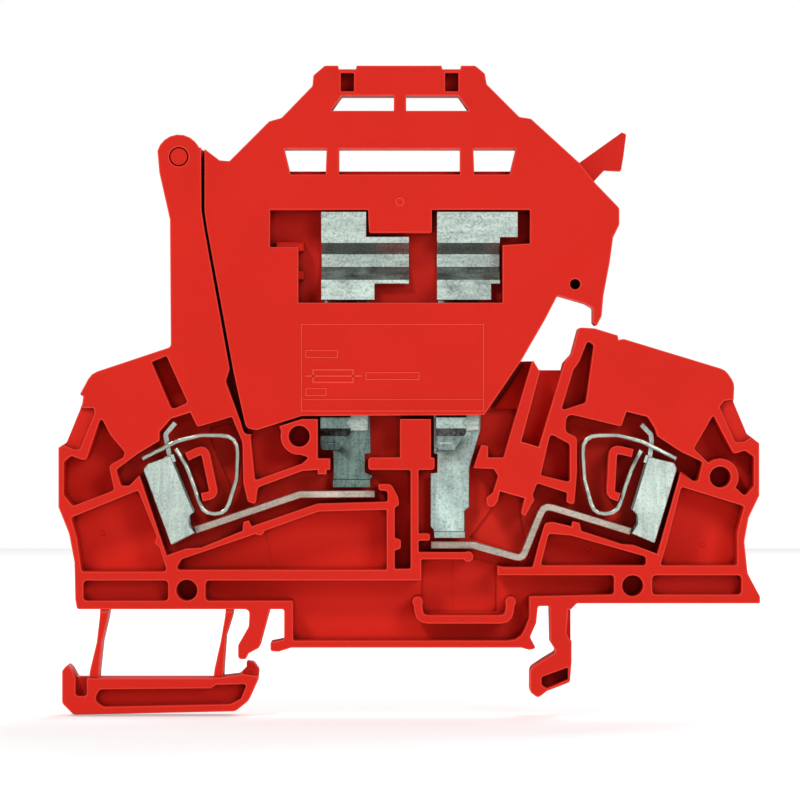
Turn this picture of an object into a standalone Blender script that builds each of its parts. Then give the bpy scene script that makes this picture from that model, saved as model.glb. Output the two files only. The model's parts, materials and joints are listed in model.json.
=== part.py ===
"""Rail-mounted fuse terminal block: an open housing, a pivoting fuse lever and two tension clamps.

Outlines are in millimetres as (x, z) points, with an optional third value that rounds the corner.
X runs along the block, Y across its width and Z up from the plane that rests on the rail.
"""
import math

import bmesh
import bpy
from mathutils import Matrix, Vector

MM = 0.001
WELD = 1e-7

# Driving dimensions, in millimetres.
BLOCK_WIDTH = 7.9
WALL = 1.0
FLOOR_STEP = 0.5
SHALLOW_FLOOR = -0.8
FRONT = -BLOCK_WIDTH / 2
BACK = BLOCK_WIDTH / 2
FLOOR = BACK - WALL
GAP = 0.3
REACH = 1.0
INSET = 0.1

LEVER_FRONT = FRONT + GAP
LEVER_BACK = FLOOR - GAP
LEVER_SKIN = 0.65
LEVER_INSIDE = LEVER_BACK - LEVER_SKIN
LEVER_FACE = LEVER_FRONT + 0.9
LEDGE_FRONT = -1.4
SILL_FRONT = 1.2

PIVOT = (-25.0, 55.5)
HEAD_RADIUS = 2.5
EYE_RADIUS = 2.1
EYE_HALF = 1.6
TRUNNION_RADIUS = 0.95
BORE_RADIUS = 1.1
SWEEP_RADIUS = 45.6

BAR_THICKNESS = 0.8
BAR_SIDES = (-2.4, 1.6)
SPRING_THICKNESS = 0.45
SPRING_SIDES = (-2.3, 1.5)
CAGE_SHEET = 0.5
CAGE_SIDES = (-3.2, 2.4)
TONGUE_SIDES = (-1.1, 0.3)
LEAF = 0.8
FRONT_LEAF = -2.2
JAW_SHEET = 0.6
BLADE_FRONT = -0.9
REAR_LEAF = 0.2
CARTRIDGE_CENTRE = (-1.3, 43.7)
CLIP_CREASES = [(-1.3, 2.4), (0.6, 3.5), (2.72, 0.95), (2.72, -0.6), (1.1, -3.75), (-1.3, -2.4)]
CLIP_LIP = (-2.0, 5.6)
CLIP_TAB = (-1.9, -4.4)
CLIP_SHEET = 0.4
PEG_HOLE_RADIUS = 1.2
LEVER_PEG_RADIUS = 0.6
NUB_RADIUS = 0.6
STRUT_SIDES = (-3.4, 3.4)
FOOT_SIDES = (-3.7, 3.7)


def clear_scene():
    for item in list(bpy.data.objects):
        bpy.data.objects.remove(item, do_unlink=True)


def collection(name):
    group = bpy.data.collections.new(name)
    bpy.context.scene.collection.children.link(group)
    return group


def material(name, colour, roughness, metallic=0.0):
    made = bpy.data.materials.new(name)
    made.use_nodes = True
    shader = made.node_tree.nodes["Principled BSDF"]
    shader.inputs["Base Color"].default_value = (*colour, 1.0)
    shader.inputs["Roughness"].default_value = roughness
    shader.inputs["Metallic"].default_value = metallic
    return made


# --- Outlines -------------------------------------------------------------------------------------

def arc(centre, radius, start, end, steps=6):
    """Points on an arc, angles in degrees, both ends included."""
    angles = [math.radians(start + (end - start) * i / steps) for i in range(steps + 1)]
    return [(centre[0] + radius * math.cos(a), centre[1] + radius * math.sin(a)) for a in angles]


def circle(centre, radius, steps=20):
    return arc(centre, radius, 0, 360, steps)[:-1]


def box(x0, z0, x1, z1, radius=0.0):
    return [(x0, z0, radius), (x1, z0, radius), (x1, z1, radius), (x0, z1, radius)]


def corner(before, point, after, radius):
    """The points that round one corner of an outline."""
    here = Vector(point[:2])
    to_before = (Vector(before[:2]) - here)
    to_after = (Vector(after[:2]) - here)
    half = to_before.angle(to_after) / 2
    if radius <= 0 or half > math.radians(88):
        return [tuple(here)]
    reach = min(radius / math.tan(half), 0.48 * min(to_before.length, to_after.length))
    start = here + to_before.normalized() * reach
    end = here + to_after.normalized() * reach
    steps = max(2, round(math.degrees(math.pi - 2 * half) / 25))
    curve = []
    for i in range(steps + 1):
        t = i / steps
        curve.append(tuple(start * (1 - t) ** 2 + here * 2 * t * (1 - t) + end * t ** 2))
    return curve


def rounded(points, closed=True):
    out = []
    last = len(points) - 1
    for i, point in enumerate(points):
        radius = point[2] if len(point) > 2 else 0.0
        if not closed and i in (0, last):
            out.append(tuple(point[:2]))
        else:
            out += corner(points[i - 1], point, points[(i + 1) % len(points)], radius)
    return out


def strip(path, thickness):
    """The outline of a strip of even thickness along an open path."""
    line = [Vector(p) for p in rounded(path, closed=False)]
    left, right = [], []
    for i, here in enumerate(line):
        into = (here - line[max(i - 1, 0)]).normalized()
        out = (line[min(i + 1, len(line) - 1)] - here).normalized()
        along = (into + out).normalized()
        side = Vector((-along.y, along.x))
        turn = max(side.dot(Vector((-out.y, out.x)) if out.length else side), 0.3)
        half = side * (thickness / 2 / turn)
        left.append(tuple(here + half))
        right.append(tuple(here - half))
    return left + right[::-1]


def mirrored(points):
    return [(-p[0], *p[1:]) for p in reversed(points)]


# --- Solids ---------------------------------------------------------------------------------------

FACING = {
    "y": Matrix(((1, 0, 0), (0, 0, -1), (0, 1, 0))).to_4x4(),
    "x": Matrix(((0, 0, 1), (1, 0, 0), (0, 1, 0))).to_4x4(),
}


def prism(name, outlines, low, high, group, axis="y"):
    """A flat outline, with any holes, made solid between two planes across the given axis."""
    if not isinstance(outlines[0], list):
        outlines = [outlines]
    curve = bpy.data.curves.new(name, "CURVE")
    curve.dimensions = "2D"
    curve.fill_mode = "BOTH"
    curve.extrude = (high - low) / 2 * MM
    for outline in outlines:
        points = rounded(outline)
        spline = curve.splines.new("POLY")
        spline.points.add(len(points) - 1)
        for knot, point in zip(spline.points, points):
            knot.co = (point[0] * MM, point[1] * MM, 0, 1)
        spline.use_cyclic_u = True
    guide = bpy.data.objects.new(name, curve)
    group.objects.link(guide)
    middle = (low + high) / 2 * MM
    shift = (middle, 0, 0) if axis == "x" else (0, middle, 0)
    guide.matrix_world = Matrix.Translation(shift) @ FACING[axis]
    bpy.context.view_layer.update()
    graph = bpy.context.evaluated_depsgraph_get()
    mesh = bpy.data.meshes.new_from_object(guide.evaluated_get(graph))
    mesh.transform(guide.matrix_world)
    bpy.data.objects.remove(guide, do_unlink=True)
    weld(mesh)
    solid = bpy.data.objects.new(name, mesh)
    group.objects.link(solid)
    return solid


def weld(mesh):
    work = bmesh.new()
    work.from_mesh(mesh)
    bmesh.ops.remove_doubles(work, verts=work.verts, dist=WELD)
    bmesh.ops.recalc_face_normals(work, faces=work.faces)
    work.to_mesh(mesh)
    work.free()


def rod(name, centre, direction, radius_low, radius_high, length, sides):
    """A round or tapered rod that starts at a point and runs along a direction, in millimetres."""
    bpy.ops.mesh.primitive_cone_add(
        vertices=sides, radius1=radius_low * MM, radius2=radius_high * MM, depth=length * MM)
    solid = bpy.context.active_object
    solid.name = name
    aim = Vector(direction).normalized()
    solid.rotation_euler = aim.to_track_quat("Z", "Y").to_euler()
    solid.location = (Vector(centre) + aim * (length / 2)) * MM
    for owner in list(solid.users_collection):
        owner.objects.unlink(solid)
    TOOLS.objects.link(solid)
    return solid


def hide_tool(piece):
    piece.hide_render = True
    piece.display_type = "WIRE"


def boolean(target, operation):
    change = target.modifiers.new(operation.lower(), "BOOLEAN")
    change.operation = operation
    change.solver = "EXACT"
    change.show_viewport = False
    return change


def cut(target, pieces):
    """Takes a collection of cutters out of a solid in one step."""
    group = bpy.data.collections.new(f"{target.name}_cutters")
    TOOLS.children.link(group)
    for piece in pieces:
        TOOLS.objects.unlink(piece)
        group.objects.link(piece)
        hide_tool(piece)
    change = boolean(target, "DIFFERENCE")
    change.operand_type = "COLLECTION"
    change.collection = group


def join(target, pieces):
    """Adds overlapping solids one at a time, because many share a face plane."""
    for piece in pieces:
        hide_tool(piece)
        boolean(target, "UNION").object = piece


def switch_on_modifiers():
    """Booleans stay off while the outlines are made, so that they are worked out only once."""
    for solid in (*PARTS.objects, *TOOLS.objects):
        for change in solid.modifiers:
            change.show_viewport = True


def finish(solid, look):
    solid.data.materials.clear()
    solid.data.materials.append(look)
    return solid


def pivot_empty(name, place, members):
    """An empty on a joint's axis, which carries the moving pieces."""
    empty = bpy.data.objects.new(name, None)
    empty.location = Vector(place) * MM
    PARTS.objects.link(empty)
    for member in members:
        member.parent = empty
        member.matrix_parent_inverse = Matrix.Translation(-empty.location)


# --- Housing --------------------------------------------------------------------------------------

SEAM_SIDE = [(-22.45, 49.5), (-22.1, 47.2), (-20.5, 38.6), (-19.25, 31.5), (-19.7, 30.1), (-18.0, 25.5)]


def housing_outline():
    head = arc(PIVOT, HEAD_RADIUS, 25, 165, 8)
    column_left = [(-27.2, 53.7), (-26.0, 48.4), (-25.9, 34.0, 0.5)]
    left_shoulder = [
        (-34.9, 31.0, 1.8), (-36.2, 28.6, 0.8), (-35.8, 28.4), (-35.9, 27.6), (-37.7, 23.2, 0.5),
        (-38.6, 22.6), (-38.6, 15.9), (-37.4, 12.9, 3), (-36.8, 9.7), (-36.7, 5.4), (-36.5, 4.35, 0.3)]
    latch_finger = [
        (-17.0, 4.35, 0.6), (-17.1, 2.4, 0.8), (-18.3, 0.3, 0.6), (-18.3, -1.3, 0.5), (-17.4, -1.3, 0.3),
        (-17.2, -0.7, 0.2), (-15.9, 0.0, 0.4), (-14.7, 4.35, 0.3), (-13.1, 4.35, 0.3), (-13.1, 0.9, 0.3)]
    seat = [
        (-14.65, 0.6, 0.2), (-14.65, -0.4, 0.3), (-13.7, -0.45, 0.2), (-12.3, 0.0), (13.7, 0.0),
        (14.6, -0.25, 0.2), (15.4, -0.1, 0.3), (14.7, 1.2, 0.4), (15.4, 2.8), (15.6, 4.7, 0.3)]
    hook = [
        (16.9, 4.7, 0.3), (17.0, 0.6, 0.3), (17.7, -0.5, 0.4), (16.2, -1.4), (14.7, -2.4, 0.8),
        (14.7, -5.0, 0.5), (15.6, -5.7, 0.5), (16.6, -4.9, 0.3), (19.2, -3.9, 0.4), (19.4, -1.6),
        (19.4, 4.4, 0.2), (20.0, 5.0)]
    right_shoulder = [
        (40.7, 5.0, 0.2), (40.7, 5.8, 0.2), (39.3, 8.4, 1.5), (38.9, 12.0, 2.0), (39.4, 14.7), (40.6, 17.2),
        (40.6, 23.1, 0.2), (39.2, 24.2, 0.4), (37.7, 27.8), (37.8, 29.9, 1.6), (36.8, 31.4, 1.6),
        (25.3, 34.9), (24.7, 34.8), (24.6, 35.3), (22.0, 36.1), (20.2, 36.2, 0.4), (19.4, 33.2, 0.6),
        (18.5, 32.2, 0.4), (18.3, 31.4), (15.7, 31.4), (15.1, 32.4), (-17.4, 32.4, 0.4),
        (-18.4, 37.1), (-20.5, 47.4), (-21.1, 55.4), (-22.2, 56.4)]
    return head + column_left + left_shoulder + latch_finger + seat + hook + right_shoulder


def left_chamber():
    clamp = [
        (-26.4, 10.4), (-29.45, 19.5), (-30.6, 18.3, 0.3), (-31.5, 18.3, 0.2), (-32.1, 20.1, 0.3),
        (-29.7, 21.9), (-27.2, 23.4), (-27.2, 24.4, 0.2), (-25.9, 25.9), (-23.7, 26.6), (-22.9, 24.95, 0.3),
        (-19.0, 26.1, 0.2), (-17.8, 23.2, 1.5), (-17.7, 18.6), (-17.2, 16.5, 0.3), (-16.3, 16.2, 0.3),
        (-16.1, 18.1, 0.5), (-11.0, 20.0, 0.3), (-9.3, 20.1), (-9.3, 19.6), (-8.3, 19.6), (-8.3, 20.1)]
    fork_pocket = [
        (-7.9, 20.1), (-7.9, 21.4), (-9.3, 21.4), (-9.3, 27.0), (0.0, 27.0), (0.0, 21.5), (-3.6, 21.5, 0.4),
        (-3.6, 20.1, 0.4), (1.2, 20.1, 0.2), (1.2, 8.9, 0.2), (-0.6, 8.9, 0.2)]
    hooked_wall = [
        (-0.6, 11.0, 0.2), (0.1, 11.2, 0.3), (0.1, 12.2, 0.3), (-0.6, 12.4, 0.2), (-0.6, 15.8, 0.2),
        (-0.1, 16.2, 0.2), (-0.2, 17.0, 0.3), (-1.0, 18.5, 0.6), (-2.5, 18.5, 0.2), (-2.4, 17.8, 0.2),
        (-1.4, 17.7, 0.3), (-1.4, 16.5, 0.2)]
    floor = [
        (-9.3, 16.3), (-16.8, 13.7), (-17.1, 14.4), (-17.7, 14.2), (-17.8, 13.2), (-22.5, 11.3, 0.4),
        (-24.2, 11.2)]
    return clamp + fork_pocket + hooked_wall + floor


def right_chamber():
    fork_pocket = [
        (3.5, 27.0), (13.3, 27.0), (11.7, 21.5, 0.1), (9.95, 21.5), (9.95, 22.8), (9.2, 22.95), (8.3, 20.3),
        (10.6, 20.2, 0.2), (11.1, 19.4, 0.2)]
    legs = [
        (10.5, 17.5), (9.7, 16.9, 0.3), (9.9, 15.9, 0.4), (10.9, 16.0, 0.3), (11.3, 17.7), (14.1, 16.9),
        (13.6, 15.3, 0.2), (14.1, 14.8, 0.2), (14.5, 15.5), (14.8, 16.1, 0.1), (15.2, 16.7, 0.2),
        (15.0, 17.3, 0.2), (15.5, 18.6, 0.3)]
    clamp = [
        (18.9, 17.5, 0.2), (18.8, 16.4, 0.3), (19.7, 16.2, 0.3), (20.0, 19.8), (20.0, 23.8, 0.6),
        (18.7, 24.4, 0.6), (18.8, 26.5, 0.8), (25.0, 25.0, 0.3), (25.6, 26.7), (28.0, 26.1), (28.8, 24.8),
        (29.1, 23.9), (31.7, 22.2), (34.2, 21.0, 0.3), (33.7, 18.9, 0.3), (33.2, 18.8, 0.3),
        (31.7, 19.9, 0.1), (29.1, 10.6), (26.4, 11.6, 0.4)]
    floor = [
        (25.1, 11.7, 0.3), (20.5, 13.2), (20.3, 14.1), (19.5, 14.3), (19.4, 13.7), (17.3, 14.2),
        (16.4, 14.1, 0.4), (15.7, 11.8), (15.0, 9.1, 0.2), (11.7, 9.1), (8.0, 10.0)]
    shelf = [
        (8.0, 10.8, 0.4), (2.1, 10.8, 0.2), (2.1, 12.1, 0.2), (3.4, 12.1, 0.3), (3.4, 12.9, 0.3),
        (2.1, 12.9, 0.1), (2.1, 20.1, 0.1), (3.9, 20.1, 0.4), (3.9, 21.5, 0.4), (3.5, 21.5)]
    return fork_pocket + legs + clamp + floor + shelf


LEFT_RING = (-11.4, 23.9)
RIGHT_RING = (36.2, 19.3)
RING_RADIUS = 2.1

LEFT_POCKETS = {
    "star": [
        (-33.8, 26.1, 0.3), (-32.7, 24.0, 1), (-31.1, 22.1, 0.3), (-31.3, 21.5, 0.3), (-32.9, 20.6, 0.6),
        (-32.3, 17.8, 0.4), (-37.0, 16.0, 0.4), (-38.0, 17.3, 0.4), (-38.0, 21.0, 0.4), (-37.2, 21.7, 0.3),
        (-35.5, 21.1, 0.5)],
    "driver_slot": [(-28.1, 32.3, 0.2), (-26.4, 33.0, 0.2), (-24.0, 27.7, 0.3), (-25.8, 26.9, 0.5)],
    "outer": [
        (-37.2, 14.7, 0.3), (-29.6, 17.8, 0.3), (-27.5, 12.6, 0.2), (-27.7, 11.8, 0.2), (-27.2, 11.4),
        (-26.3, 8.6, 0.4), (-36.0, 8.6, 0.4), (-36.5, 12.3, 2)],
    "under_bar": [
        (-25.4, 8.8, 0.4), (-24.7, 10.0, 0.4), (-16.5, 12.8), (-9.2, 15.4), (-1.5, 15.6, 0.2),
        (-1.5, 8.8, 0.2)],
}

RIGHT_POCKETS = {
    "outer": [
        (31.8, 18.2, 0.3), (38.9, 16.0, 0.3), (38.1, 13.0, 2), (38.1, 9.3, 0.3), (29.4, 9.3, 0.3),
        (30.1, 11.6)],
    "under_bar": [(15.9, 9.3, 0.3), (16.8, 12.9, 0.4), (19.3, 12.7, 0.3), (27.8, 10.3, 0.4),
        (27.8, 9.3, 0.3)],
    "driver_slot": [
        (21.2, 34.7, 0.3), (21.9, 34.2, 0.3), (21.0, 27.7, 0.4), (18.2, 26.8, 0.3), (19.6, 31.4, 0.5),
        (20.3, 32.4, 0.3)],
    "web_slot": [(16.3, 33.0), (18.8, 33.0), (15.7, 22.7), (13.7, 23.3)],
    "inner": [(17.0, 24.2, 0.4), (19.2, 23.0, 0.4), (19.2, 18.7, 0.3), (15.9, 19.5, 0.3)],
}


SHALLOW_POCKETS = [box(-35.8, 5.3, -26.2, 7.6, 0.5), box(28.5, 6.0, 38.6, 8.2, 0.5)]


def ring_pockets():
    left = [(-10.3, 21.5, 0.2), (-11.1, 20.8), (-16.4, 18.9, 0.3), (-16.9, 23.9, 0.2), (-16.5, 24.7),
        (-13.8, 25.5)]
    right = [
        (39.0, 17.1, 0.4), (40.0, 18.3, 0.4), (40.0, 21.6, 0.4), (39.0, 22.3, 0.4), (37.7, 21.9, 0.4),
        (35.4, 26.3, 0.2), (33.2, 22.5, 0.4)]
    return [
        arc(LEFT_RING, RING_RADIUS, 165, 275, 8) + left,
        arc(RIGHT_RING, RING_RADIUS, 130, -35, 8) + right,
    ]


def basin():
    return [
        (-22.0, 7.6, 0.5), (11.0, 7.6), (11.0, 8.2), (24.2, 8.2, 0.4), (24.2, 6.0, 0.4), (14.6, 5.8, 0.2),
        (14.6, 3.4, 0.5), (13.6, 0.8, 2.0), (-12.1, 0.8, 0.3), (-12.1, 5.3, 0.2), (-22.0, 5.3, 0.5)]


def lever_bay():
    corner_run = [(-17.6, 24.05, 0.8), (-16.3, 24.2), (-11.1, 25.85), (9.9, 25.85)]
    sweep = arc(PIVOT, SWEEP_RADIUS, -40, -10, 10)
    return [(-22.5, 58.5)] + SEAM_SIDE + corner_run + sweep + [(20.0, 58.5)]


def floor_steps():
    """Places where the back wall is thinner, seen as slanted lines on the chamber floors."""
    between_legs = [(7.9, 12.3), (11.3, 16.9), (11.3, 17.7), (14.1, 16.9), (13.7, 15.3), (14.4, 11.9),
        (13.9, 10.2)]
    left_clamp = [(-21.7, 23.6), (-19.2, 17.7), (-18.1, 18.4), (-18.2, 23.3), (-19.3, 25.4), (-21.6, 24.9)]
    return [between_legs, left_clamp]


def housing_cutters():
    deep = [
        left_chamber(), right_chamber(), *LEFT_POCKETS.values(), *RIGHT_POCKETS.values(),
        *ring_pockets()]
    holes = [LEFT_RING, RIGHT_RING, (-24.1, 6.5), (26.3, 7.0)]
    deep += [circle(centre, PEG_HOLE_RADIUS) for centre in holes]
    pieces = [prism("deep", outline, FRONT - REACH, FLOOR, TOOLS) for outline in deep]
    pieces += [prism("shallow", outline, FRONT - REACH, SHALLOW_FLOOR, TOOLS) for outline in SHALLOW_POCKETS]
    pieces.append(prism("basin", basin(), FRONT - REACH, FLOOR - 0.6, TOOLS))
    pieces.append(prism("box_pocket", box(2.4, 3.9, 11.0, 10.0, 0.2), FRONT - REACH, FLOOR - 0.1, TOOLS))
    pieces += [prism("floor_step", outline, FRONT, FLOOR + FLOOR_STEP, TOOLS) for outline in floor_steps()]
    web = [(13.9, 33.0), (15.1, 33.0), (13.1, 26.2), (9.6, 25.9)]
    pieces.append(prism("web", web, FRONT - REACH, 0.5, TOOLS))
    edges = [
        [(-36.6, 27.1), (-34.6, 27.1, 0.2), (-34.5, 26.5, 0.3), (-36.2, 22.4, 0.4),
         (-36.8, 22.4, 0.2), (-38.9, 23.3)],
        [(36.6, 27.9, 0.3), (36.1, 27.2, 0.3), (37.9, 23.2, 0.4), (38.9, 23.3, 0.2), (40.3, 24.2),
         (38.6, 28.2)],
    ]
    pieces += [prism("edge_recess", outline, FRONT - REACH, FRONT + 0.9, TOOLS) for outline in edges]
    foot_recesses = [
        [(21.0, 4.7), (19.0, 4.3), (18.8, 1.7), (19.2, 0.8), (21.0, 0.6)],
        [(16.0, -3.3, 0.3), (19.0, -2.2, 0.2), (19.0, -3.6, 0.2), (16.6, -4.6, 0.2), (16.0, -4.2, 0.2)],
    ]
    pieces += [prism("foot_recess", outline, FRONT - REACH, 1.0, TOOLS) for outline in foot_recesses]
    return pieces


def lever_cutters_in_housing():
    """Room for the lever, its hinge eye between the two cheeks, and the trunnion's bore."""
    clevis = box(-29.0, PIVOT[1] - HEAD_RADIUS, -22.0, 60.0)
    return [
        prism("lever_bay", lever_bay(), FRONT - REACH, FLOOR, TOOLS),
        prism("clevis_slot", clevis, -EYE_HALF - GAP, EYE_HALF + GAP, TOOLS),
        prism("hinge_bore", circle(PIVOT, BORE_RADIUS, 32), FRONT - REACH, BACK + REACH, TOOLS),
    ]


def wire_entries():
    """Round conductor entries that run down through each shoulder to its clamp."""
    entries = [((-28.6, 22.2), (-0.36, 0.93), 10.6), ((31.2, 21.9), (0.30, 0.95), 11.3)]
    middle = sum(BAR_SIDES) / 2
    pieces = []
    for (x, z), (run, rise), depth in entries:
        way = (run, 0, rise)
        mouth = (x + run * (depth - 2.6), middle, z + rise * (depth - 2.6))
        pieces.append(rod("wire_entry", (x, middle, z), way, 1.4, 1.4, depth + 3, 16))
        pieces.append(rod("wire_funnel", mouth, way, 1.1, 2.6, 4.2, 22))
    return pieces


NUBS = [(2.0, 5.2), (12.5, 5.2), (7.7, 10.3), (-15.9, 13.3)]


def housing_ribs():
    """Free-standing ribs on the back wall: the spring stops and the cradle under the box pocket."""
    left_stop = [(-24.1, 21.6), (-22.1, 22.5, 0.7), (-21.0, 17.3, 0.7), (-22.4, 17.0)]
    right_stop = [(26.3, 22.0), (24.1, 22.5, 0.7), (23.8, 17.3, 0.7), (24.8, 17.0)]
    cradle = [(2.0, 5.2), (2.2, 3.2, 1.4), (12.3, 3.2, 1.4), (12.5, 5.2)]
    outlines = [strip(path, 0.95) for path in (left_stop, right_stop, cradle)]
    outlines += [circle(centre, NUB_RADIUS, 12) for centre in NUBS]
    return [prism("rib", outline, FRONT, FLOOR + WALL / 2, TOOLS) for outline in outlines]


def base_housing(red):
    solid = prism("base_housing", housing_outline(), FRONT, BACK, PARTS)
    for cutters in (housing_cutters(), lever_cutters_in_housing(), wire_entries()):
        cut(solid, cutters)
    join(solid, housing_ribs())
    return finish(solid, red)


# --- Rail foot ------------------------------------------------------------------------------------

STRUTS = {
    "foot_strut_outer": [(-33.9, 4.05), (-32.9, 4.05), (-33.7, 0.6), (-34.1, -3.15), (-35.2, -3.15),
        (-34.3, 0.6)],
    "foot_strut_inner": [(-19.7, 4.05), (-18.8, 4.05), (-19.7, 1.2), (-20.0, -2.95), (-21.1, -2.95),
        (-20.3, 0.6)],
}


def rail_foot(red):
    outline = [
        (-38.2, -2.6, 0.4), (-37.6, -1.9, 0.3), (-37.1, -2.5, 0.3), (-36.6, -3.45, 0.3), (-21.3, -3.45),
        (-19.5, -3.25, 0.2), (-18.2, -3.1, 0.3), (-17.4, -2.3, 0.3), (-17.4, -1.65, 0.1),
        (-16.6, -1.75, 0.3), (-16.0, -2.6, 0.6), (-16.1, -3.8, 0.8), (-17.1, -6.0, 1.5), (-18.6, -7.2, 0.8),
        (-36.9, -7.6, 0.6), (-38.2, -6.3, 0.6)]
    pocket = [
        (-34.6, -5.9, 0.8), (-34.0, -4.7, 0.7), (-21.4, -4.6), (-20.8, -4.2, 0.2), (-17.3, -4.1, 0.3),
        (-18.0, -5.8, 0.4), (-19.2, -6.4, 0.3), (-33.6, -6.7, 0.9)]
    slot = box(-36.7, -5.5, -35.4, -2.0, 0.4)
    nose = [(-17.75, -3.0), (-15.0, -3.4), (-15.0, -1.0), (-17.75, -1.0)]
    front, back = FOOT_SIDES
    solid = prism("rail_foot", outline, front, back, PARTS)
    cut(solid, [
        prism("pocket", pocket, front - REACH, SHALLOW_FLOOR, TOOLS),
        prism("slot", slot, front - REACH, SHALLOW_FLOOR, TOOLS),
        prism("nose_relief", nose, front - REACH, -1.0, TOOLS)])
    return finish(solid, red)


def foot_struts(red):
    return [finish(prism(name, outline, *STRUT_SIDES, PARTS), red) for name, outline in STRUTS.items()]


# --- Lever ----------------------------------------------------------------------------------------

def lever_outline():
    top = [
        (-8.5, 65.8, 0.3), (-9.8, 64.7, 0.4), (-9.9, 63.5, 0.3), (-13.4, 59.9, 0.5), (-14.8, 59.5, 0.3),
        (-19.3, 55.0, 0.2), (-20.4, 55.1), (-22.1, 56.4)]
    left = [(-22.1, 49.4), (-21.8, 47.3), (-19.9, 37.1), (-18.8, 31.1), (-17.4, 24.8, 0.9)]
    bottom = [(-16.2, 24.6), (-11.1, 26.2), (9.5, 26.3, 0.2)]
    right = [
        (13.8, 32.6), (16.4, 37.1), (17.8, 39.8, 0.3), (20.9, 38.9), (21.8, 38.4, 0.3), (21.8, 36.7, 0.2),
        (22.2, 36.3, 0.2), (22.8, 37.5), (23.0, 39.8, 0.8), (23.7, 43.5), (24.1, 46.4), (24.8, 47.8, 0.6),
        (24.8, 49.7, 0.5), (22.1, 52.5, 0.5), (20.3, 54.8), (14.8, 59.8, 0.3), (13.5, 60.0, 0.4),
        (9.8, 63.7, 0.4), (9.6, 64.9, 0.4), (8.5, 65.8, 0.3)]
    dips = [(6.9, 65.8), (6.8, 65.4), (4.8, 65.4), (4.7, 65.8), (-4.9, 65.8), (-5.0, 65.4),
        (-6.9, 65.4), (-7.0, 65.8)]
    return top + left + bottom + right + dips


def lever_windows():
    upper = [(-7.8, 60.7, 0.1), (-6.6, 62.4, 0.2), (-0.7, 62.4, 0.1), (-0.7, 60.7, 0.1)]
    outer = [(-13.1, 56.4, 0.1), (-8.3, 56.4, 0.1), (-8.4, 53.5, 0.1), (-12.4, 53.5, 0.2)]
    return [
        upper, mirrored(upper), box(-6.9, 53.5, 6.8, 56.4, 0.1), outer, mirrored(outer)]


def lever_cutters():
    fuse_window = [
        (-14.7, 49.5, 0.1), (-3.6, 49.5, 0.1), (-3.5, 46.9, 0.2), (3.6, 46.9, 0.2), (3.6, 49.5, 0.1),
        (14.7, 49.5, 0.1), (14.7, 45.7, 0.1), (11.6, 45.5), (11.6, 39.0, 0.1), (-11.5, 39.0, 0.1),
        (-11.5, 45.3), (-14.7, 45.3, 0.1)]
    fork_cavity = [(-16.1, 23.5), (9.1, 23.5), (9.9, 28.4, 0.5), (9.3, 29.2, 0.3), (-16.4, 29.2, 0.4)]
    blade_slots = [box(-9.2, 28.6, -3.3, 40.0), box(3.4, 28.6, 9.4, 40.0)]
    top_pockets = [box(-6.7, 62.9, -5.2, 65.0, 0.1), box(5.1, 62.9, 6.6, 65.0, 0.1)]
    pieces = [
        prism("fuse_window", fuse_window, LEVER_FRONT - REACH, LEVER_INSIDE, TOOLS),
        prism("fork_cavity", fork_cavity, LEVER_FACE, LEVER_INSIDE, TOOLS),
        prism("peg_hole", circle((19.8, 41.1), LEVER_PEG_RADIUS, 12), LEVER_FRONT - REACH, 1.0, TOOLS)]
    pieces += [prism("top_pocket", outline, LEVER_FRONT - REACH, 0.0, TOOLS) for outline in top_pockets]
    pieces += [
        prism("blade_slot", outline, BLADE_FRONT - GAP, BLADE_FRONT + LEAF + GAP, TOOLS)
        for outline in blade_slots]
    return pieces


def lever_additions():
    neck = box(PIVOT[0], PIVOT[1] - 1.5, -20.8, PIVOT[1] - 0.1)
    tab = [
        (19.4, 53.0), (20.3, 54.9), (22.1, 56.2), (25.2, 58.4, 0.1), (25.7, 58.2, 0.2), (25.4, 55.8),
        (25.1, 54.0, 0.2), (23.2, 54.1), (22.0, 52.8), (21.0, 51.5)]
    ledges = [box(-14.0, 44.9, -10.9, 45.9), box(-12.0, 41.7, -10.9, 42.6)]
    ledges = [prism("window_ledge", outline, LEDGE_FRONT, LEVER_BACK - INSET, TOOLS) for outline in ledges]
    sill = prism("window_sill", box(-12.7, 53.0, 12.7, 54.0), SILL_FRONT, LEVER_BACK - INSET, TOOLS)
    return [
        *ledges,
        sill,
        prism("hinge_eye", circle(PIVOT, EYE_RADIUS, 24), -EYE_HALF, EYE_HALF, TOOLS),
        prism("hinge_neck", neck, -EYE_HALF, EYE_HALF, TOOLS),
        prism("trunnion", circle(PIVOT, TRUNNION_RADIUS, 28), FRONT + 0.05, BACK - 0.05, TOOLS),
        prism("thumb_tab", tab, 0.2, LEVER_BACK - INSET, TOOLS),
    ]


def fuse_lever(red):
    solid = prism("fuse_lever", [lever_outline(), *lever_windows()], LEVER_FRONT, LEVER_BACK, PARTS)
    cut(solid, lever_cutters())
    join(solid, lever_additions())
    return finish(solid, red)


# --- Contacts -------------------------------------------------------------------------------------

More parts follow.
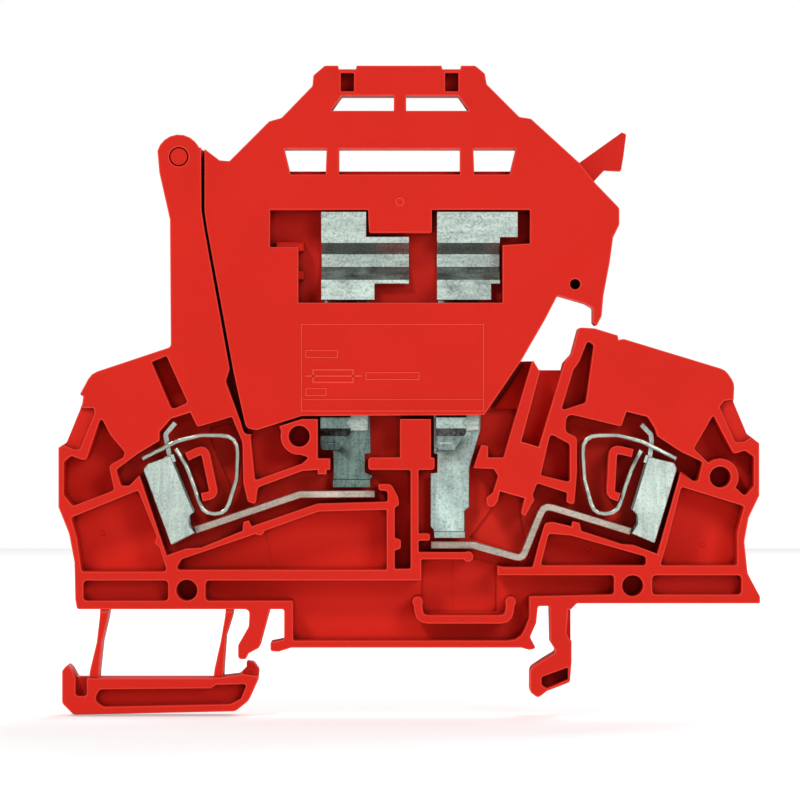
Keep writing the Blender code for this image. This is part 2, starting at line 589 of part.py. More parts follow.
def fuse_clip(name, low, seat, lip, tab, blade, plated):
    """One creased sheet across the lever: lip, seat and tab start together at low and end apart."""
    y, z = CARTRIDGE_CENTRE
    profile = strip([(y + out, z + up) for out, up in (CLIP_LIP, *CLIP_CREASES, CLIP_TAB)], CLIP_SHEET)
    widest = max(seat, lip, tab)
    solid = prism(name, profile, low, widest, PARTS, axis="x")
    bands = [(z - 2.5, z + 2.75, seat), (z + 2.75, z + 9, lip), (z - 9, z - 2.5, tab)]
    trims = [
        prism("trim", box(end, under, widest + REACH, over), FRONT - REACH, BACK, TOOLS)
        for under, over, end in bands if end < widest]
    cut(solid, trims)
    blade_top = z - 3.5
    start, end = blade
    blade_outline = [(start, 24.5, 0.3), (end, 24.5, 0.3), (end, blade_top), (start, blade_top)]
    join(solid, [prism("clip_blade", blade_outline, BLADE_FRONT, BLADE_FRONT + LEAF, TOOLS)])
    return finish(solid, plated)


def merge(name, pieces, look):
    """One solid from overlapping pieces: the first keeps its place and takes in the rest."""
    first, *rest = pieces
    first.name = name
    TOOLS.objects.unlink(first)
    PARTS.objects.link(first)
    join(first, rest)
    return finish(first, look)


def fuse_clips(plated):
    return [
        fuse_clip("left_fuse_clip", -8.9, 1.0, -3.85, -2.9, (-8.6, -3.6), plated),
        fuse_clip("right_fuse_clip", 4.2, 11.3, 13.3, 10.3, (4.3, 9.0), plated),
    ]


def fork(name, rear, leaf_left, foot, plated):
    """A rear leaf that runs down to the bar, and a shorter jaw in front that bulges to guide the blade."""
    sheet = FRONT_LEAF + JAW_SHEET / 2
    bulge = [(sheet + 0.5, 27.0), (sheet - 0.35, 25.9), (sheet - 0.4, 24.9), (sheet + 0.35, 24.0),
        (sheet, 22.3)]
    jaw = prism("front_leaf", strip(bulge, JAW_SHEET), leaf_left, leaf_left + 3.4, TOOLS, axis="x")
    corners = [
        [(leaf_left + 3.5, 24.4), (leaf_left + 1.9, 22.2), (leaf_left + 3.5, 22.0)],
        [(leaf_left - 0.1, 22.9), (leaf_left + 0.4, 22.2), (leaf_left - 0.1, 22.0)],
        [(leaf_left + 2.9, 25.4), (leaf_left + 3.5, 26.1), (leaf_left + 3.5, 24.7)]]
    cut(jaw, [prism("jaw_corner", outline, FRONT, REAR_LEAF, TOOLS) for outline in corners])
    bridge = box(leaf_left + 0.4, 22.5, leaf_left + 1.8, 23.2)
    return merge(name, [
        prism("rear_leaf", rear, REAR_LEAF, REAR_LEAF + LEAF, TOOLS),
        jaw,
        prism("bridge", bridge, FRONT_LEAF + 0.15, REAR_LEAF + LEAF - 0.1, TOOLS),
        prism("fork_foot", foot, REAR_LEAF - 0.15, REAR_LEAF + LEAF, TOOLS)], plated)


def forks(plated):
    left = [
        (-9.0, 27.0, 0.2), (-3.4, 27.0, 0.2), (-3.3, 21.9, 0.2), (-3.95, 21.8), (-3.95, 19.8), (-3.0, 19.4),
        (-3.4, 18.9), (-3.4, 18.1), (-7.6, 18.1), (-7.6, 21.7), (-7.7, 22.3), (-9.0, 22.6)]
    right = [
        (3.8, 27.0, 0.2), (9.2, 27.0, 0.2), (9.15, 24.6), (7.9, 20.3), (7.85, 15.8), (7.35, 15.4),
        (7.35, 12.35), (3.9, 12.35), (3.8, 13.2), (3.45, 13.6), (3.45, 19.7), (4.2, 19.8), (4.2, 21.8),
        (3.8, 21.9)]
    return [
        fork("left_fork", left, -9.0, box(-7.6, 18.1, -3.4, 18.95), plated),
        fork("right_fork", right, 4.1, box(3.9, 12.35, 7.35, 13.0), plated)]


def current_bars(plated):
    left = [(-23.2, 13.25), (-11.3, 17.3, 0.8), (-2.85, 17.35)]
    right = [(3.5, 11.55), (8.4, 11.55, 0.6), (13.85, 10.0, 0.8), (16.3, 16.1, 1.1), (26.1, 13.1)]
    return [
        finish(prism(name, strip(path, BAR_THICKNESS), *BAR_SIDES, PARTS), plated)
        for name, path in (("left_current_bar", left), ("right_current_bar", right))]


# --- Clamps ---------------------------------------------------------------------------------------

def clamp_cage(name, plate, web, foot, tongue, plated):
    """Two side plates joined by an outer web and a foot, with a hook tongue on top."""
    front, back = CAGE_SIDES
    bend = [tongue[-1][:2], (tongue[-1][0] * 0.99, tongue[-1][1] - 0.8)]
    pieces = [
        prism("web", strip(web, CAGE_SHEET), front, back, TOOLS),
        prism("front_plate", plate, front, front + CAGE_SHEET, TOOLS),
        prism("rear_plate", plate, back - CAGE_SHEET, back, TOOLS),
        prism("foot", strip(foot, CAGE_SHEET), front + 0.1, back - 0.1, TOOLS),
        prism("tongue", strip(tongue, CAGE_SHEET), *TONGUE_SIDES, TOOLS),
        prism("neck", strip(bend, 1.1), front + 0.1, TONGUE_SIDES[1], TOOLS)]
    return merge(name, pieces, plated)


def clamp_cages(plated):
    left_plate = [
        (-29.0, 20.2, 0.3), (-28.5, 20.8, 0.3), (-26.0, 21.7, 0.1), (-23.35, 15.3, 0.2), (-23.9, 14.9, 0.3),
        (-23.85, 13.8, 0.5), (-23.2, 13.0, 0.1), (-25.9, 11.6, 0.1)]
    right_plate = [
        (28.1, 21.6, 0.1), (31.0, 20.9, 0.3), (31.3, 20.3, 0.3), (28.8, 11.8, 0.1), (26.2, 12.9, 0.1),
        (26.9, 14.0, 0.4), (26.9, 15.0, 0.4), (26.3, 15.6, 0.2)]
    left = clamp_cage(
        "left_clamp_cage", left_plate, [(-28.75, 20.1), (-25.75, 12.0)], [(-25.8, 11.9), (-23.4, 13.15)],
        [(-25.5, 25.4), (-26.6, 24.1, 0.3), (-26.45, 23.3, 0.3), (-26.15, 21.7)], plated)
    right = clamp_cage(
        "right_clamp_cage", right_plate, [(31.05, 20.1), (28.65, 12.1)], [(28.7, 12.1), (26.4, 13.1)],
        [(27.4, 25.2), (28.45, 24.1, 0.3), (28.55, 23.3, 0.3), (28.35, 21.6)], plated)
    return [left, right]


def clamp_springs(steel):
    left = [
        (-29.2, 21.35), (-25.3, 23.35, 3), (-22.5, 24.0, 2), (-18.3, 24.0, 3.4), (-18.5, 19.0, 3),
        (-19.8, 15.05, 1.9), (-22.3, 15.15, 2.0), (-23.4, 18.4, 2), (-24.2, 20.6, 8), (-25.4, 22.5)]
    right = [
        (31.3, 21.35), (27.5, 23.3, 3), (24.7, 24.0, 2), (20.6, 24.0, 3.4), (20.9, 19.0, 3),
        (22.0, 15.05, 1.9), (24.6, 15.15, 2.0), (25.6, 18.4, 2), (26.4, 20.6, 8), (27.35, 22.3)]
    crossings = {"left_clamp_spring": (left, -26.6, 22.8), "right_clamp_spring": (right, 28.5, 22.8)}
    low, high = TONGUE_SIDES
    made = []
    for name, (path, x, z) in crossings.items():
        solid = prism(name, strip(path, SPRING_THICKNESS), *SPRING_SIDES, PARTS)
        slot = prism("tongue_slot", box(x - 0.9, z - 0.9, x + 0.9, z + 1.2), low - GAP, high + GAP, TOOLS)
        cut(solid, [slot])
        made.append(finish(solid, steel))
    return made


def build():
    red = material("red_polyamide", (0.62, 0.03, 0.02), 0.45)
    plated = material("tinned_copper", (0.62, 0.66, 0.62), 0.35, 1.0)
    steel = material("spring_steel", (0.60, 0.62, 0.58), 0.25, 1.0)
    base_housing(red)
    foot = rail_foot(red)
    foot_struts(red)
    lever = fuse_lever(red)
    clips = fuse_clips(plated)
    forks(plated)
    current_bars(plated)
    left_cage, right_cage = clamp_cages(plated)
    clamp_springs(steel)
    pivot_empty("lever_axis", (PIVOT[0], 0, PIVOT[1]), [lever, *clips])
    pivot_empty("foot_guide", (-27.0, 0, -5.5), [foot])
    pivot_empty("left_cage_guide", (-27.4, 0, 15.8), [left_cage])
    pivot_empty("right_cage_guide", (29.9, 0, 16.2), [right_cage])
    switch_on_modifiers()


clear_scene()
PARTS = collection("fuse_terminal_block")
TOOLS = collection("cutters")
build()
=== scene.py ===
"""Looks of the fuse terminal block: fine edges, moulded plastic, plated metal, light and camera."""
import json
import math

import bmesh
import bpy
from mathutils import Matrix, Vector


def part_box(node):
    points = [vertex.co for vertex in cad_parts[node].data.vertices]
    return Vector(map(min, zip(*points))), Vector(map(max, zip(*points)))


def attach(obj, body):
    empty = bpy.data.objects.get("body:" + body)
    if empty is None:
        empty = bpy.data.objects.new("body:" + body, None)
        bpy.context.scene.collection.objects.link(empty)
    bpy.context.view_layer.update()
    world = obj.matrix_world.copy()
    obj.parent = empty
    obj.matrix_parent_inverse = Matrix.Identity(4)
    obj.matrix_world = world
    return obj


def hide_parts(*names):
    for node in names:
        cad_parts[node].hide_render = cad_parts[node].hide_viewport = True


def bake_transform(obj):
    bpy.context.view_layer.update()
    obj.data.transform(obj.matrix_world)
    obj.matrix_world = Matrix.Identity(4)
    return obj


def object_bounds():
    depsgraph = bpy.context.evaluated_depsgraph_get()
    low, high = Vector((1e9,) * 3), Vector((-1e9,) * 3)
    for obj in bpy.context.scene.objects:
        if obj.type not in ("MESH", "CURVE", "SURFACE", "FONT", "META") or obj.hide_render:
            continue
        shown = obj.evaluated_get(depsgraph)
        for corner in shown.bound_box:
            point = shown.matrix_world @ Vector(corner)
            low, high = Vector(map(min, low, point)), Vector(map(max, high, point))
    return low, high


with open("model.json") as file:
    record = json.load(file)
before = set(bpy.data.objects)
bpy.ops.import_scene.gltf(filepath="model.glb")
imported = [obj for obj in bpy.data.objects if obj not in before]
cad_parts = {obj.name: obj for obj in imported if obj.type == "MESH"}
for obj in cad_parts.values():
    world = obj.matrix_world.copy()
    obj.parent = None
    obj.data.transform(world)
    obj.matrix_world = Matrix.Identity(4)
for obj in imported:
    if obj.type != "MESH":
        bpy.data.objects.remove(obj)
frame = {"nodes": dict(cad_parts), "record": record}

MM = 0.001
CAD_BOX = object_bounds()

PLASTIC_EDGE = 0.13 * MM
METAL_EDGE = 0.07 * MM
RIM_DROP = 0.7    # how far a rim slopes back, as a share of its width
FLEX_STEP = 0.6 * MM    # the longest piece of a shape that has to bend
FLAT = 0.99    # a face whose normal has more than this along Y counts as flat
ROUND = math.radians(32)
CREASED = math.radians(18)
BODIES = frame["record"]["behaviour"]["bodies"]
BODY_OF_NODE = {node: body for body, nodes in BODIES.items() for node in nodes}


# --- Node helpers ---------------------------------------------------------------------------------

class Nodes:
    """A material's node tree, with short calls to add and link nodes."""

    def __init__(self, name):
        self.material = bpy.data.materials.new(name)
        self.material.use_nodes = True
        self.tree = self.material.node_tree
        self.shader = self.tree.nodes["Principled BSDF"]
        self.place = self.add("ShaderNodeTexCoord").outputs["Object"]

    def add(self, kind, **settings):
        node = self.tree.nodes.new(kind)
        for key, value in settings.items():
            setattr(node, key, value)
        return node

    def link(self, source, target):
        self.tree.links.new(source, target)

    def stretched(self, scale):
        node = self.add("ShaderNodeMapping")
        node.inputs["Scale"].default_value = scale
        self.link(self.place, node.inputs["Vector"])
        return node.outputs["Vector"]

    def noise(self, scale, detail=3.0, rough=0.55, vector=None):
        node = self.add("ShaderNodeTexNoise")
        node.inputs["Scale"].default_value = scale
        node.inputs["Detail"].default_value = detail
        node.inputs["Roughness"].default_value = rough
        self.link(vector or self.place, node.inputs["Vector"])
        return node.outputs["Fac"]

    def spread(self, value, low, high):
        node = self.add("ShaderNodeMapRange")
        node.inputs["From Min"].default_value = 0.3
        node.inputs["From Max"].default_value = 0.7
        node.inputs["To Min"].default_value = low
        node.inputs["To Max"].default_value = high
        self.link(value, node.inputs["Value"])
        return node.outputs["Result"]

    def mix(self, factor, first, second):
        node = self.add("ShaderNodeMix", data_type="RGBA")
        self.feed(node.inputs["Factor"], factor)
        self.feed(node.inputs[6], first)
        self.feed(node.inputs[7], second)
        return node.outputs[2]

    def feed(self, target, value):
        if isinstance(value, bpy.types.NodeSocket):
            self.link(value, target)
        elif isinstance(value, tuple):
            target.default_value = (*value, 1.0)
        else:
            target.default_value = value

    def bump(self, height, strength, distance):
        node = self.add("ShaderNodeBump")
        node.inputs["Strength"].default_value = strength
        node.inputs["Distance"].default_value = distance
        self.link(height, node.inputs["Height"])
        self.link(node.outputs["Normal"], self.shader.inputs["Normal"])

    def tilt(self, up, down, start, end):
        """0 on upright faces, rising to one value on faces that look up, another on those that look down:
        the mask for painted shade on tilted faces.
        """
        normal = self.add("ShaderNodeSeparateXYZ")
        self.link(self.add("ShaderNodeTexCoord").outputs["Normal"], normal.inputs["Vector"])
        total = self.add("ShaderNodeMath", operation="ADD")
        for i, (sign, most) in enumerate(((1, up), (-1, down))):
            node = self.add("ShaderNodeMapRange")
            node.inputs["From Min"].default_value = sign * start
            node.inputs["From Max"].default_value = sign * end
            node.inputs["To Max"].default_value = most
            self.link(normal.outputs["Z"], node.inputs["Value"])
            self.link(node.outputs["Result"], total.inputs[i])
        return total.outputs["Value"]

    def multiplied(self, first, second):
        node = self.add("ShaderNodeMath", operation="MULTIPLY")
        self.link(first, node.inputs[0])
        self.link(second, node.inputs[1])
        return node.outputs["Value"]

    def along_y(self, coordinate, start, end):
        """Rises from 0 to 1 as the place or the normal runs from one Y value to another."""
        split = self.add("ShaderNodeSeparateXYZ")
        self.link(self.add("ShaderNodeTexCoord").outputs[coordinate], split.inputs["Vector"])
        node = self.add("ShaderNodeMapRange")
        node.inputs["From Min"].default_value = start
        node.inputs["From Max"].default_value = end
        self.link(split.outputs["Y"], node.inputs["Value"])
        return node.outputs["Result"]

    def gap_shade_mask(self, distance, shut, clear):
        """Falls from 1 on open faces to 0 in gaps narrower than about the given distance: the mask for
        painted shade in gaps.
        """
        node = self.add("ShaderNodeAmbientOcclusion", samples=6)
        node.inputs["Distance"].default_value = distance
        ramp = self.add("ShaderNodeMapRange")
        ramp.inputs["From Min"].default_value = shut
        ramp.inputs["From Max"].default_value = clear
        self.link(node.outputs["AO"], ramp.inputs["Value"])
        return ramp.outputs["Result"]


# --- Materials ------------------------------------------------------------------------------------

# Painted light: the pocket floors far back in the housing lean towards this colour, so they are a little
# lighter than the faces, as light bounced into the pockets would make them.
FLOOR_PAINTED_LIGHT_RED = (0.93, 0.035, 0.016)


def moulded_plastic(name, face, gap_shade):
    """Satin polyamide: flow marks, a fine eroded grain, painted shade in narrow gaps, and painted light on
    the floors far back in the pockets.
    """
    made = Nodes(name)
    flow = made.spread(made.noise(90, 2.0), 0.0, 1.0)
    clouded = made.mix(flow, face, tuple(c * 0.94 for c in face))
    grain = made.noise(5200, 4.0, 0.6)
    specked = made.mix(made.spread(grain, 0.0, 0.22), clouded, tuple(c * 0.8 for c in face))
    # Painted light: front-facing floors far back in the pockets are mixed towards the lighter floor red.
    faces_front = made.along_y("Normal", -0.4, -0.8)
    on_floor = made.multiplied(made.along_y("Object", 2.1 * MM, 2.3 * MM), faces_front)
    floor_light_share = made.multiplied(on_floor, made.spread(flow, 0.52, 0.58))
    with_floor_light = made.mix(floor_light_share, specked, FLOOR_PAINTED_LIGHT_RED)
    # Painted shade: narrow gaps go towards the gap shade colour.
    colour = made.mix(made.gap_shade_mask(1.1 * MM, 0.22, 0.68), gap_shade, with_floor_light)
    made.link(colour, made.shader.inputs["Base Color"])
    made.link(made.spread(grain, 0.42, 0.56), made.shader.inputs["Roughness"])
    made.shader.inputs["Specular IOR Level"].default_value = 0.08
    made.bump(grain, 0.12, 0.02 * MM)
    return made.material


def plated_metal(name, light, dark, along, pitting, tilt_shade=(0.0, 0.0, 0.3, 0.5)):
    """Tin-plated strip: rolling marks and dark pits, with painted shade in narrow gaps and streaked painted
    shade where the sheet tilts up or down.
    """
    made = Nodes(name)
    rolled = made.noise(1700, 5.0, 0.7, made.stretched(along))
    pits = made.noise(3400, 5.0, 0.8)
    cloud = made.noise(420, 3.0)
    streaked = made.mix(made.spread(rolled, 0.0, 1.0), light, dark)
    pitted = made.mix(made.spread(pits, -0.6, pitting), streaked, tuple(c * 0.2 for c in dark))
    clouded = made.mix(made.spread(cloud, 0.0, 0.3), pitted, light)
    # Painted shade: narrow gaps go towards a near-black copy of the dark tone.
    shaded = made.mix(made.gap_shade_mask(0.7 * MM, 0.15, 0.8), tuple(c * 0.12 for c in dark), clouded)
    # Painted shade: faces that tilt up or down go darker, as folds do where they turn from the light.
    streaked_tilt_shade = made.multiplied(made.tilt(*tilt_shade), made.spread(rolled, 0.6, 1.25))
    tilt_shaded = made.mix(streaked_tilt_shade, shaded, tuple(c * 0.1 for c in dark))
    made.link(tilt_shaded, made.shader.inputs["Base Color"])
    made.link(made.spread(cloud, 0.26, 0.42), made.shader.inputs["Roughness"])
    made.shader.inputs["Metallic"].default_value = 0.9
    made.bump(rolled, 0.3, 0.02 * MM)
    return made.material


RED = moulded_plastic("red_polyamide", (0.665, 0.019, 0.010), (0.07, 0.002, 0.001))
# Painted highlight: a lighter copy of the red for the sloped rims along every edge and for the raised marks
# on the lever, in place of light caught by the edges.
RED_HIGHLIGHT = moulded_plastic("red_polyamide_painted_highlight", (0.86, 0.062, 0.038), (0.42, 0.012, 0.007))
ALONG_X = (0.12, 1, 1)
ALONG_Z = (1, 1, 0.1)
SHEET_LIGHT = (0.66, 0.78, 0.70)
SHEET_DARK = (0.34, 0.43, 0.40)
# The clip and both jaws get painted shade on their tilted faces.
CLIP_TIN = plated_metal("tinned_copper_clip", SHEET_LIGHT, SHEET_DARK, ALONG_X, 0.95, (0.55, 0.0, 0.3, 0.45))
JAW_TILT_SHADE = (0.6, 0.9, 0.12, 0.2)
# Painted shade: both jaws are the same tinned copper, but the left one gets a much darker copy for the
# darker reflection on its shank.
LEFT_JAW_SHADED_LIGHT = (0.25, 0.36, 0.32)
LEFT_JAW_SHADED_DARK = (0.09, 0.15, 0.14)
RIGHT_LIGHT = (0.50, 0.66, 0.60)
JAW_TINS = {
    "left": plated_metal("tinned_copper_left_jaw_painted_shade", LEFT_JAW_SHADED_LIGHT, LEFT_JAW_SHADED_DARK, ALONG_Z, 0.95, JAW_TILT_SHADE),
    "right": plated_metal("tinned_copper_right_jaw", RIGHT_LIGHT, SHEET_DARK, ALONG_Z, 0.85, JAW_TILT_SHADE),
}
CAGE_TIN = plated_metal("tinned_copper_cage", SHEET_LIGHT, SHEET_DARK, ALONG_Z, 0.7)
BAR_TIN = plated_metal("tinned_copper_bar", (0.58, 0.51, 0.43), (0.33, 0.29, 0.24), ALONG_X, 0.7)
STEEL = plated_metal("spring_steel", (0.50, 0.58, 0.50), (0.26, 0.31, 0.27), (0.3, 1, 0.3), 0.45)


# --- Fine edges on the CAD shapes -----------------------------------------------------------------

def cad_mesh(node):
    """The node's shape as large flat faces again, ready for cuts and rounded edges."""
    mesh = bmesh.new()
    mesh.from_mesh(frame["nodes"][node].data)
    bmesh.ops.remove_doubles(mesh, verts=mesh.verts, dist=1e-6)
    bmesh.ops.dissolve_limit(
        mesh, angle_limit=math.radians(0.6), verts=mesh.verts, edges=mesh.edges, delimit=set())
    return mesh


def outer_level(mesh, side):
    """The outermost flat faces turned to one side of the Y axis, small studs and pins left out."""
    same_level, least_share = 0.02 * MM, 0.1
    levels = {}
    for face in mesh.faces:
        if face.normal.y * side > FLAT:
            levels.setdefault(round(side * face.verts[0].co.y / same_level), []).append(face)
    areas = {level: sum(face.calc_area() for face in faces) for level, faces in levels.items()}
    broad = [level for level, area in areas.items() if area > least_share * max(areas.values())]
    return levels[max(broad)]


def chamfer_rims(mesh, width, rim_index):
    """Cuts a narrow slope round every edge of the two broad faces, as a mould or a press leaves it."""
    for side in (-1, 1):
        faces = outer_level(mesh, side)
        rim = bmesh.ops.inset_region(
            mesh, faces=faces, thickness=width, use_boundary=True, use_even_offset=True)["faces"]
        inner = {vert for face in faces for vert in face.verts}
        outer = {vert for face in rim for vert in face.verts} - inner
        for vert in outer:
            vert.co.y -= side * width * RIM_DROP
        for face in rim:
            # The rim faces take the last material; on the plastic pieces that is the lighter red, a painted
            # highlight.
            face.material_index = rim_index


def as_object(mesh, name, materials, sharp=ROUND):
    for face in mesh.faces:
        face.smooth = abs(face.normal.y) < FLAT
    data = bpy.data.meshes.new(name)
    mesh.to_mesh(data)
    mesh.free()
    piece = bpy.data.objects.new(name, data)
    bpy.context.scene.collection.objects.link(piece)
    for material in materials:
        data.materials.append(material)
    data.set_sharp_from_angle(angle=sharp)
    return piece


def stand_for(piece, node):
    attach(piece, BODY_OF_NODE[node])
    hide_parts(node)


def detailed(node, materials, width, sharp=ROUND):
    mesh = cad_mesh(node)
    chamfer_rims(mesh, width, len(materials) - 1)
    piece = as_object(mesh, f"{node}_shell", materials, sharp)
    stand_for(piece, node)
    return piece


# --- Small moulded details ------------------------------------------------------------------------

LEVER_SETBACK = 0.3 * MM
LEVER_FACE_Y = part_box("base_housing")[0][1] + LEVER_SETBACK
HOUSING_BACK_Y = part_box("base_housing")[1][1]
BACK_WALL = 1.0 * MM
FLOOR_Y = HOUSING_BACK_Y - BACK_WALL
RELIEF = 0.06 * MM


def bar(mesh, x0, z0, x1, z1, face_y):
    """A low flat bar that stands on a face looking towards -Y, in millimetres along X and Z."""
    centre = Vector(((x0 + x1) / 2 * MM, face_y, (z0 + z1) / 2 * MM))
    size = Vector(((x1 - x0) * MM, RELIEF * 2, (z1 - z0) * MM))
    for vert in bmesh.ops.create_cube(mesh, size=1.0)["verts"]:
        vert.co = centre + vert.co * size


def frame_bars(mesh, x0, z0, x1, z1, line, face_y):
    bar(mesh, x0, z0, x1, z0 + line, face_y)
    bar(mesh, x0, z1 - line, x1, z1, face_y)
    bar(mesh, x0, z0 + line, x0 + line, z1 - line, face_y)
    bar(mesh, x1 - line, z0 + line, x1, z1 - line, face_y)


def moulded_detail(mesh, name, body, material):
    piece = as_object(mesh, name, (material,))
    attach(piece, body)


def lever_marking():
    """The marking field: its raised border, the general fuse symbol and plain bars where text would be."""
    mesh = bmesh.new()
    face = LEVER_FACE_Y
    frame_bars(mesh, -11.2, 26.7, 9.5, 36.6, 0.12, face)
    bar(mesh, -11.0, 28.0, 9.4, 28.1, face)
    frame_bars(mesh, -9.9, 29.9, -5.2, 31.5, 0.18, face)
    bar(mesh, -10.7, 30.61, -4.3, 30.79, face)
    for x0, x1, z in ((-10.7, -7.0, 33.2), (-3.9, 2.2, 30.7), (-10.7, -8.3, 28.9)):
        frame_bars(mesh, x0, z - 0.45, x1, z + 0.45, 0.12, face)
    # The raised lines take the lighter red: a painted highlight.
    moulded_detail(mesh, "lever_marking", "lever", RED_HIGHLIGHT)


def ring(mesh, x, z, radius, face_y, thickness=0.09):
    """A raised ring on a face across Y, such as an ejector pin leaves."""
    steps, sides = 28, 8
    loops = []
    for i in range(steps):
        turn = 2 * math.pi * i / steps
        loop = []
        for j in range(sides):
            tilt = 2 * math.pi * j / sides
            out = (radius + thickness * math.cos(tilt)) * MM
            place = (x * MM + out * math.cos(turn), face_y + thickness * math.sin(tilt) * MM,
                     z * MM + out * math.sin(turn))
            loop.append(mesh.verts.new(place))
        loops.append(loop)
    for i in range(steps):
        here, after = loops[i], loops[(i + 1) % steps]
        for j in range(sides):
            k = (j + 1) % sides
            mesh.faces.new((here[j], here[k], after[k], after[j]))


def ejector_marks():
    """Raised rings where pins pushed the mouldings out: above the fuse window, on floors and on the back."""
    lever_mesh = bmesh.new()
    ring(lever_mesh, 0.0, 50.4, 0.42, LEVER_FACE_Y)
    # The ring on the lever takes the lighter red: a painted highlight.
    moulded_detail(lever_mesh, "lever_ejector_mark", "lever", RED_HIGHLIGHT)
    floor_mesh = bmesh.new()
    for x, z in ((-33.9, 12.8), (34.5, 11.5), (21.5, 11.0)):
        ring(floor_mesh, x, z, 0.3, FLOOR_Y, 0.06)
    for x, z in ((-33, 25), (-23.5, 45), (-6, 18), (9, 8), (30, 30), (36, 12)):
        ring(floor_mesh, x, z, 1.0, HOUSING_BACK_Y, 0.05)
    moulded_detail(floor_mesh, "housing_ejector_marks", "housing", RED)


def floor_ridges():
    """Faint steps on two pocket floors, one upright and one slanted."""
    mesh = bmesh.new()
    bar(mesh, 5.95, 4.3, 6.05, 9.6, FLOOR_Y - 0.1 * MM)
    upper, lower = Vector((-15.4, 13.1)), Vector((-14.6, 9.4))
    parts = 12
    for i in range(parts):
        x = upper.x + (lower.x - upper.x) * (i + 0.5) / parts
        z1 = upper.y + (lower.y - upper.y) * i / parts
        z0 = upper.y + (lower.y - upper.y) * (i + 1) / parts
        bar(mesh, x - 0.06, z0, x + 0.06, z1, FLOOR_Y)
    moulded_detail(mesh, "housing_floor_ridges", "housing", RED)


# --- Flexing pieces -------------------------------------------------------------------------------

def flexing(node, materials, width):
    """A CAD shape cut into short steps along X and Z; no body is set for it here."""
    mesh = cad_mesh(node)
    chamfer_rims(mesh, width, len(materials) - 1)
    low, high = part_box(node)
    for axis in (0, 2):
        normal = Vector((axis == 0, 0, axis == 2))
        steps = max(3, round((high[axis] - low[axis]) / FLEX_STEP))
        for i in range(1, steps):
            point = Vector(low)
            point[axis] = low[axis] + (high[axis] - low[axis]) * i / steps
            geometry = mesh.verts[:] + mesh.edges[:] + mesh.faces[:]
            bmesh.ops.bisect_plane(mesh, geom=geometry, plane_co=point, plane_no=normal)
    piece = as_object(mesh, f"{node}_flex", materials)
    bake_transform(piece)
    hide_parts(node)
    return piece


def foot_struts():
    for node in ("foot_strut_outer", "foot_strut_inner"):
        low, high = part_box(node)
        piece = flexing(node, (RED, RED_HIGHLIGHT), PLASTIC_EDGE)
        reach_ends(piece, low[2], high[2])


def reach_ends(piece, low, high):
    """Runs a strut's two ends into the housing and the foot, which it is moulded with."""
    into_housing, into_foot = 0.45 * MM, 0.5 * MM
    for vert in piece.data.vertices:
        if abs(vert.co.z - high) < 0.05 * MM:
            vert.co.z += into_housing
        elif vert.co.z - low < 0.25 * MM:
            vert.co.z -= into_foot


def clamp_springs():
    """Each clamp spring cut into short steps. On the real block the loop stands still and the arm beyond its
    inner leg follows the cage; nothing here ties either part to a body.
    """
    for side, x_still, x_moving in (("left", -24.6, -28.0), ("right", 26.8, 30.2)):
        spring = f"{side}_clamp_spring"
        flexing(spring, (STEEL,), METAL_EDGE)


# --- Stage ----------------------------------------------------------------------------------------

def camera():
    """A long lens, square to the open side; the picture is 90.4 mm wide at the object."""
    width, centre_x, centre_z = 90.4 * MM, 0.0, 28.0 * MM
    lens, sensor = 300.0, 36.0
    data = bpy.data.cameras.new("camera")
    data.lens = lens
    data.sensor_width = sensor
    data.clip_start = 0.01
    data.clip_end = 20.0
    eye = bpy.data.objects.new("camera", data)
    eye.location = (centre_x, CAD_BOX[0][1] - width * lens / sensor, centre_z)
    eye.rotation_euler = (math.pi / 2, 0, 0)
    bpy.context.scene.collection.objects.link(eye)
    bpy.context.scene.camera = eye


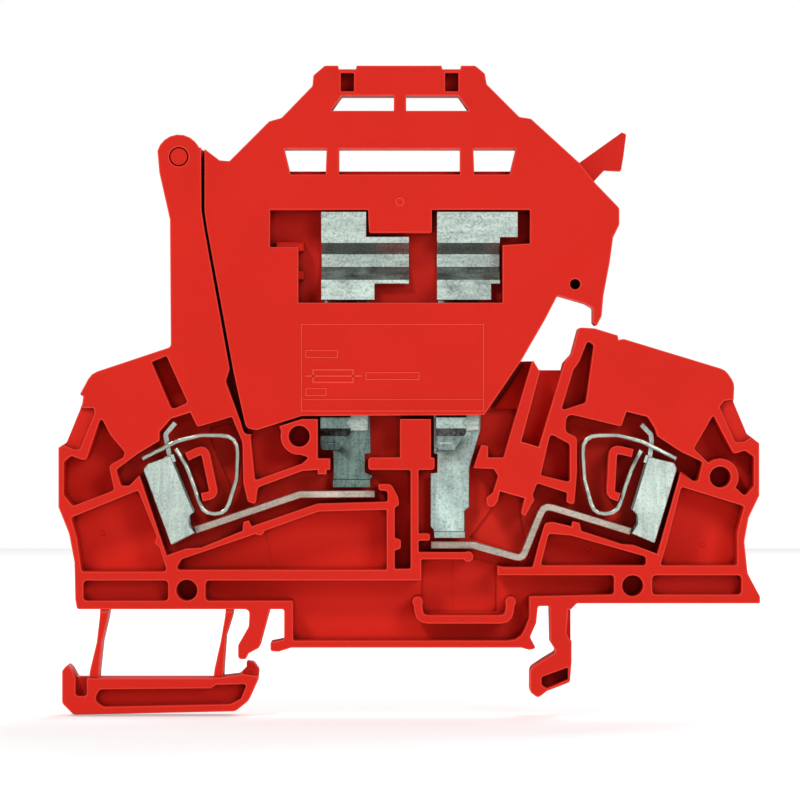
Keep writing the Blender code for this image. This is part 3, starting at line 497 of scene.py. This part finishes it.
def floor():
    bpy.ops.mesh.primitive_plane_add(size=1.7, location=(0, 0, CAD_BOX[0][2] - 0.2 * MM))
    ground = bpy.context.active_object
    ground.name = "floor"
    made = Nodes("pale_floor")
    tint = made.spread(made.noise(3, 2.0), 0.0, 1.0)
    made.link(made.mix(tint, (0.90, 0.90, 0.90), (0.87, 0.87, 0.87)), made.shader.inputs["Base Color"])
    made.shader.inputs["Roughness"].default_value = 0.9
    made.shader.inputs["Emission Color"].default_value = (1, 1, 1, 1)
    made.shader.inputs["Emission Strength"].default_value = 0.45
    ground.data.materials.append(made.material)


def area_light(name, place, aim, size, power):
    data = bpy.data.lights.new(name, "AREA")
    data.shape = "DISK"
    data.size = size
    data.energy = power
    lamp = bpy.data.objects.new(name, data)
    lamp.location = place
    lamp.rotation_euler = (Vector(aim) - Vector(place)).to_track_quat("-Z", "Y").to_euler()
    bpy.context.scene.collection.objects.link(lamp)


def studio_world():
    """White as the camera sees it, and dimmer as a light, so that the lamps can shape the piece."""
    world = bpy.data.worlds.new("studio")
    world.use_nodes = True
    tree = world.node_tree
    rays = tree.nodes.new("ShaderNodeLightPath")
    level = tree.nodes.new("ShaderNodeMapRange")
    level.inputs["To Min"].default_value = 0.36
    level.inputs["To Max"].default_value = 1.0
    tree.links.new(rays.outputs["Is Camera Ray"], level.inputs["Value"])
    background = tree.nodes["Background"]
    background.inputs["Color"].default_value = (1, 1, 1, 1)
    tree.links.new(level.outputs["Result"], background.inputs["Strength"])
    bpy.context.scene.world = world


def lights():
    middle = (0, 0, 0.03)
    area_light("key", (-0.24, -0.60, 0.42), middle, 0.16, 1.6)
    area_light("front", (0.24, -0.72, 0.20), middle, 0.20, 1.1)
    area_light("back", (0.20, 0.60, 0.40), middle, 0.40, 2.6)
    studio_world()
    bpy.context.scene.view_settings.view_transform = "Standard"


# --- Assembly -------------------------------------------------------------------------------------

for name in ("base_housing", "fuse_lever", "rail_foot"):
    detailed(name, (RED, RED_HIGHLIGHT), PLASTIC_EDGE)
for side in ("left", "right"):
    detailed(f"{side}_fuse_clip", (CLIP_TIN,), METAL_EDGE, CREASED)
    detailed(f"{side}_fork", (JAW_TINS[side],), METAL_EDGE, CREASED)
    detailed(f"{side}_clamp_cage", (CAGE_TIN,), METAL_EDGE, CREASED)
    detailed(f"{side}_current_bar", (BAR_TIN,), METAL_EDGE)
foot_struts()
clamp_springs()
lever_marking()
ejector_marks()
floor_ridges()
camera()
floor()
lights()

bpy.context.view_layer.update()
